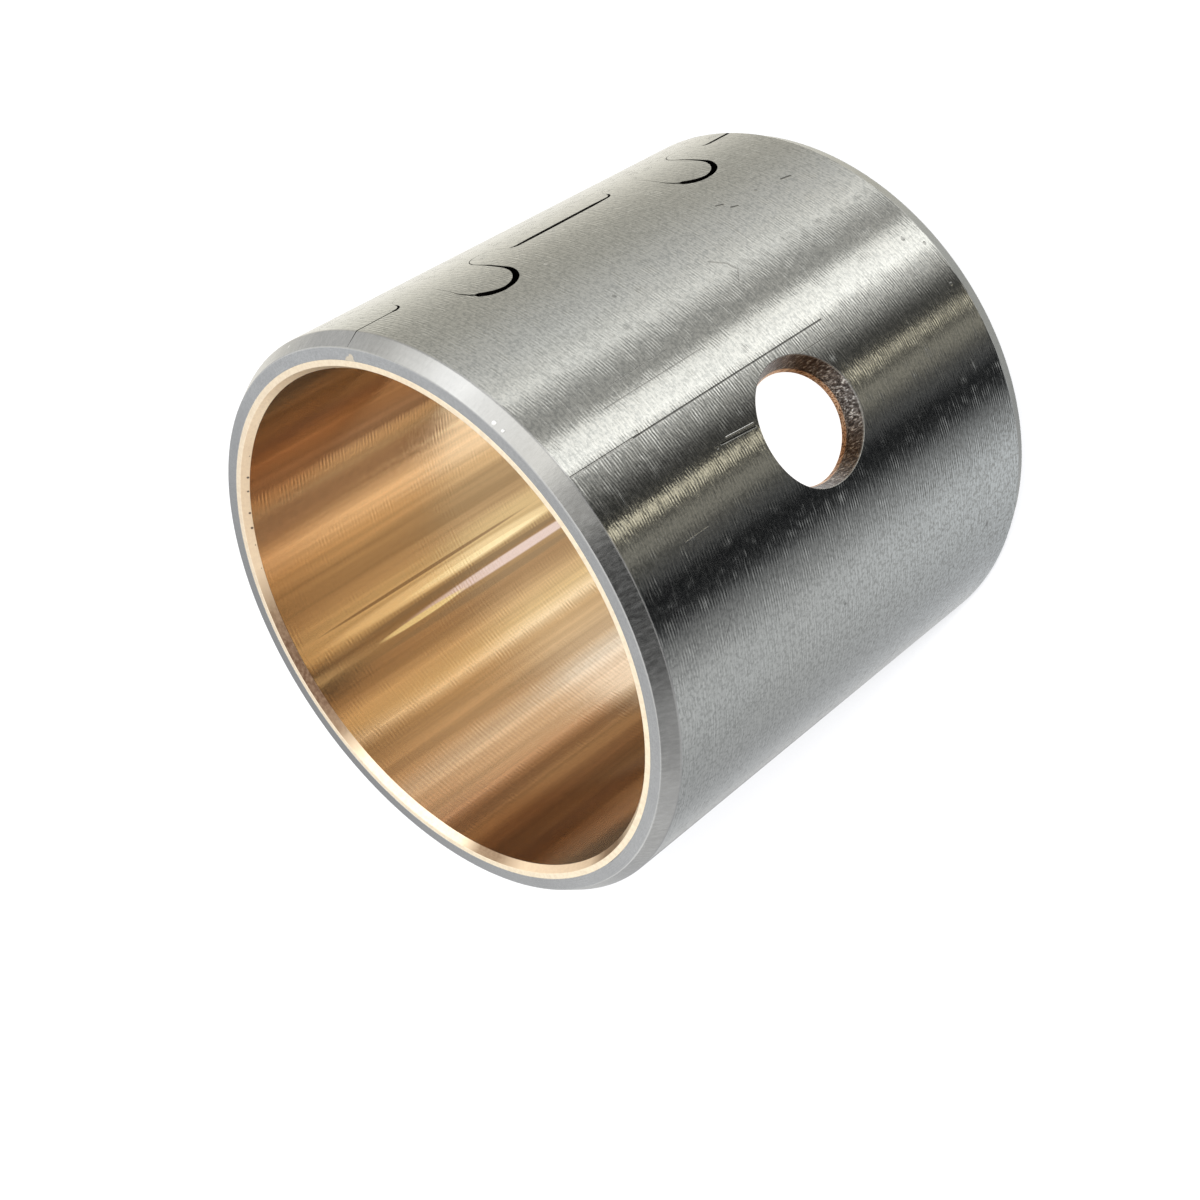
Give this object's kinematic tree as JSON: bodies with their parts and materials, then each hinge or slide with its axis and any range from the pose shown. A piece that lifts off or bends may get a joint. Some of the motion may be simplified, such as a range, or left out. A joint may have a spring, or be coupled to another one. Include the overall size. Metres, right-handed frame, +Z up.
{
  "type": "wrapped bimetal bushing",
  "caption": "Thin-walled round bushing rolled from lined strip, with a clinched seam, a radial oil hole and chamfered ends.",
  "frame": {"origin": "centre of the lower end, on the bore axis", "axes": "+Z up the bore axis, -Y out through the oil hole, +X 90 degrees from the oil hole on the seam's side"},
  "size_m": [0.04, 0.04, 0.038],
  "materials": {
    "steel": "fine turned outside, with a light oil film",
    "bronze": "smooth bored sintered bronze"
  },
  "bodies": {
    "root": {"steel_backing": "steel", "bronze_lining": "bronze"}
  },
  "joints": []
}
